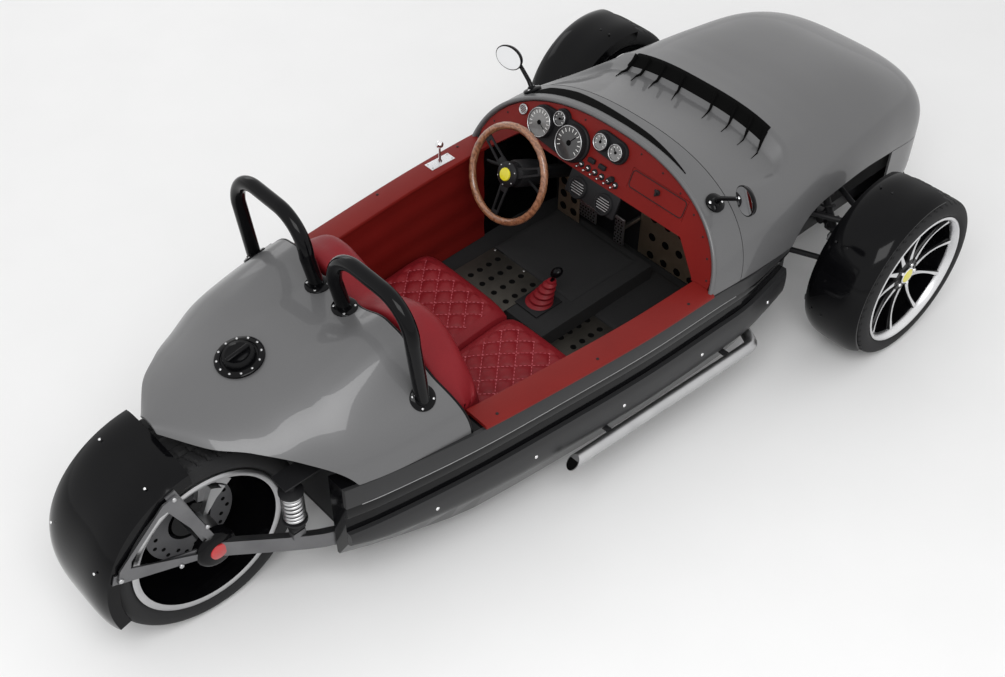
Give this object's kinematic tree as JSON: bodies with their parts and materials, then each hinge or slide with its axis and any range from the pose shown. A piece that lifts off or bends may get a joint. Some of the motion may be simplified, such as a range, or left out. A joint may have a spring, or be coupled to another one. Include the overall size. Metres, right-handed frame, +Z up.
{
  "type": "three wheeled roadster",
  "caption": "Open two-seat road car with two steered front wheels, one rear wheel on a single-sided swing arm, a boat-tail deck and roll hoops; wheels, steering and glovebox move.",
  "frame": {"origin": "on the ground, under the middle of the car's length and width", "axes": "+X to the front of the car, +Y to its left, +Z up"},
  "size_m": [3.654, 1.721, 1.113],
  "materials": {
    "body_paint": "gloss",
    "black_gloss": "gloss",
    "black_matte": "matte",
    "charcoal": "satin",
    "red_hide": "satin",
    "red_trim": "satin",
    "wood": "satin",
    "machined": "gloss",
    "steel": "satin",
    "bright": "gloss",
    "cast": "satin",
    "lamp": "gloss",
    "tyre": "matte",
    "frame_paint": "satin",
    "carpet": "matte",
    "bronze": "satin"
  },
  "bodies": {
    "body": {"floor_pan": "carpet", "side_walls": "black_gloss", "firewall": "bronze", "rear_bulkhead": "black_matte", "bonnet": "body_paint", "bonnet_vent": "black_matte", "nose_panel": "body_paint", "grille": "black_matte", "headlamps": "lamp", "splitter": "black_matte", "cowl": "body_paint", "dash": "red_trim", "instruments": "black_gloss", "steering_column": "black_matte", "pedals": "steel", "seat_cushions": "red_hide", "seat_back": "red_hide", "sill_trims": "red_trim", "side_bands": "charcoal", "rockers": "charcoal", "exhausts": "bright", "deck": "body_paint", "rear_shield": "black_matte", "roll_hoops": "black_gloss", "fuel_filler": "black_gloss", "mirrors": "black_gloss", "levers": "black_gloss", "engine": "cast", "front_frame": "frame_paint", "suspension": "frame_paint", "swing_arm": "steel", "rear_shock": "bright", "rear_fender": "black_gloss"},
    "left_knuckle": {"knuckle_left": "cast", "front_fender_left": "black_gloss"},
    "right_knuckle": {"knuckle_right": "cast", "front_fender_right": "black_gloss"},
    "left_wheel": {"front_rim_left": "machined", "front_tyre_left": "tyre"},
    "right_wheel": {"front_rim_right": "machined", "front_tyre_right": "tyre"},
    "rear_wheel": {"rear_rim": "black_gloss", "rear_tyre": "tyre"},
    "steering_wheel": {"steering_wheel": "wood"},
    "glovebox_lid": {"glovebox_lid": "red_trim"}
  },
  "joints": [
    {"name": "steer_left", "type": "hinge", "parent": "body", "child": "left_knuckle", "pos_m": [1.082, 0.648, 0.318], "axis": [0, 0, 1], "range_deg": [-28, 28]},
    {"name": "steer_right", "type": "hinge", "parent": "body", "child": "right_knuckle", "pos_m": [1.082, -0.648, 0.318], "axis": [0, 0, 1], "range_deg": [-28, 28]},
    {"name": "steering_wheel_turn", "type": "hinge", "parent": "body", "child": "steering_wheel", "pos_m": [0.13712, 0.3, 0.62], "axis": [-0.9135, 0, 0.4067], "range_deg": [-420, 420]},
    {"name": "spin_front_left", "type": "hinge", "parent": "left_knuckle", "child": "left_wheel", "pos_m": [1.082, 0.748, 0.318], "axis": [0, 1, 0], "continuous": true},
    {"name": "spin_front_right", "type": "hinge", "parent": "right_knuckle", "child": "right_wheel", "pos_m": [1.082, -0.748, 0.318], "axis": [0, 1, 0], "continuous": true},
    {"name": "spin_rear", "type": "hinge", "parent": "body", "child": "rear_wheel", "pos_m": [-1.458, 0, 0.328], "axis": [0, 1, 0], "continuous": true},
    {"name": "glovebox_hinge", "type": "hinge", "parent": "body", "child": "glovebox_lid", "pos_m": [0.2951, -0.248, 0.72858], "axis": [0, -1, 0], "range_deg": [0, 80]}
  ],
  "couplings": [
    {"joint": "steer_right", "follows": "steer_left", "ratio": 1},
    {"joint": "steering_wheel_turn", "follows": "steer_left", "ratio": 15}
  ]
}
